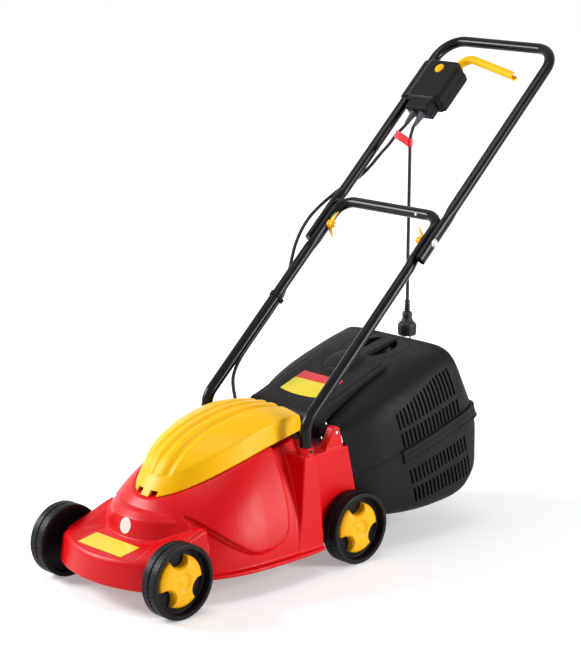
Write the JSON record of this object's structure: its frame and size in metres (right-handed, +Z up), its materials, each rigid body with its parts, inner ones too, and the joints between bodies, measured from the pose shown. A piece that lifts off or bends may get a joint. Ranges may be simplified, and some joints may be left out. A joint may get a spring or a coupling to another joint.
{
  "type": "electric lawn mower",
  "caption": "Corded rotary lawn mower: red deck, yellow motor cover, black wheels with yellow caps, folding tube handle with switch box, rear flap and grass catcher.",
  "frame": {"origin": "on the ground under the middle of the whole machine, handle included, midway between left and right", "axes": "+Z up, +Y from the nose towards the handle and the person pushing, +X to the right-hand side seen from the front in a view along +Y"},
  "size_m": [0.362, 1.1139, 0.9513],
  "materials": {
    "deck_red": "glossy moulded polypropylene, brilliant red",
    "cover_yellow": "glossy moulded polypropylene, golden yellow",
    "black_plastic": "fine-textured black polypropylene",
    "wheel_black": "dull black moulded wheel",
    "tube_black": "glossy black powder coat on steel tube",
    "steel": "zinc-plated steel",
    "blade_steel": "black hardened steel blade",
    "cast_plate": "die-cast aluminium",
    "motor_iron": "laminated iron",
    "copper": "enamelled copper winding on the core",
    "carbon": "pressed carbon",
    "block_plastic": "ivory switch housing",
    "cable_black": "black rubber cable",
    "gland_grey": "grey rubber strain relief",
    "tag_red": "plain red film",
    "pin_brass": "nickel-plated brass"
  },
  "bodies": {
    "machine": {"deck": "deck_red", "motor_cover": "cover_yellow", "cover_screws": "steel", "motor_yoke": "motor_iron", "motor_lower_plate": "cast_plate", "motor_upper_plate": "cast_plate", "motor_screws": "steel", "lower_bearing": "steel", "upper_bearing": "steel", "carbon_brushes": "carbon", "front_axle": "steel", "rear_axle": "steel", "axle_clamps": "steel", "push_nuts": "steel", "lower_handle": "tube_black", "socket_screws": "steel", "fold_bolts": "steel", "fold_cable": "cable_black", "deck_cable": "cable_black", "cable_clip": "black_plastic", "flap_rod": "steel", "flap_spring": "steel"},
    "rotor": {"armature": "copper", "spindle": "steel", "cooling_fan": "black_plastic", "blade_carrier": "black_plastic", "blade": "blade_steel", "blade_washer": "steel", "blade_bolt": "steel"},
    "front_right_wheel": {"wheel_front_right": "wheel_black", "hub_front_right": "cover_yellow"},
    "front_left_wheel": {"wheel_front_left": "wheel_black", "hub_front_left": "cover_yellow"},
    "rear_right_wheel": {"wheel_rear_right": "wheel_black", "hub_rear_right": "cover_yellow"},
    "rear_left_wheel": {"wheel_rear_left": "wheel_black", "hub_rear_left": "cover_yellow"},
    "handle_top": {"upper_handle": "tube_black", "switch_box_front": "black_plastic", "switch_box_back": "black_plastic", "switch_box_screws": "steel", "switch_block": "block_plastic", "lever_pin": "steel", "motor_cable_gland": "gland_grey", "mains_gland": "gland_grey", "handle_cable": "cable_black", "cable_tag": "tag_red", "mains_lead": "cable_black", "plug": "black_plastic", "plug_pins": "pin_brass", "button_spring": "steel"},
    "lever": {"switch_lever": "cover_yellow"},
    "button": {"safety_button": "cover_yellow"},
    "right_wing_nut": {"wing_nut_right": "cover_yellow"},
    "left_wing_nut": {"wing_nut_left": "cover_yellow"},
    "flap": {"rear_flap": "black_plastic"},
    "catcher": {"catcher_upper": "black_plastic", "catcher_lower": "black_plastic"}
  },
  "joints": [
    {"name": "rotor_spin", "type": "hinge", "parent": "machine", "child": "rotor", "pos_m": [0, -0.27114, 0.1], "axis": [0, 0, 1], "continuous": true},
    {"name": "front_right_wheel_spin", "type": "hinge", "parent": "machine", "child": "front_right_wheel", "pos_m": [0.163, -0.48464, 0.07], "axis": [1, 0, 0], "continuous": true},
    {"name": "front_left_wheel_spin", "type": "hinge", "parent": "machine", "child": "front_left_wheel", "pos_m": [-0.163, -0.48464, 0.07], "axis": [1, 0, 0], "continuous": true},
    {"name": "rear_right_wheel_spin", "type": "hinge", "parent": "machine", "child": "rear_right_wheel", "pos_m": [0.163, -0.03764, 0.07], "axis": [1, 0, 0], "continuous": true},
    {"name": "rear_left_wheel_spin", "type": "hinge", "parent": "machine", "child": "rear_left_wheel", "pos_m": [-0.163, -0.03764, 0.07], "axis": [1, 0, 0], "continuous": true},
    {"name": "handle_fold", "type": "hinge", "parent": "machine", "child": "handle_top", "pos_m": [0, 0.17741, 0.59522], "axis": [1, 0, 0], "range_deg": [0, 155], "deforming": ["fold_cable"]},
    {"name": "lever_squeeze", "type": "hinge", "parent": "handle_top", "child": "lever", "pos_m": [-0.075, 0.48768, 0.88419], "axis": [0, -0.6833, 0.7302], "range_deg": [0, 16], "stiffness_Nm_per_rad": 0.3, "springref_deg": -20.05},
    {"name": "button_press", "type": "slide", "parent": "handle_top", "child": "button", "axis": [0, 0.6833, -0.7302], "range_m": [0, 0.004], "stiffness_N_per_m": 500, "springref_m": -0.002, "deforming": ["button_spring"]},
    {"name": "right_wing_nut_turn", "type": "hinge", "parent": "machine", "child": "right_wing_nut", "pos_m": [0.117, 0.17741, 0.59522], "axis": [1, 0, 0], "continuous": true},
    {"name": "left_wing_nut_turn", "type": "hinge", "parent": "machine", "child": "left_wing_nut", "pos_m": [-0.117, 0.17741, 0.59522], "axis": [1, 0, 0], "continuous": true},
    {"name": "flap_lift", "type": "hinge", "parent": "machine", "child": "flap", "pos_m": [0, -0.06414, 0.258], "axis": [1, 0, 0], "range_deg": [0, 70], "stiffness_Nm_per_rad": 0.15, "springref_deg": -17.19},
    {"name": "catcher_draw", "type": "slide", "parent": "machine", "child": "catcher", "axis": [0, 1, 0], "range_m": [0, 0.05]}
  ]
}
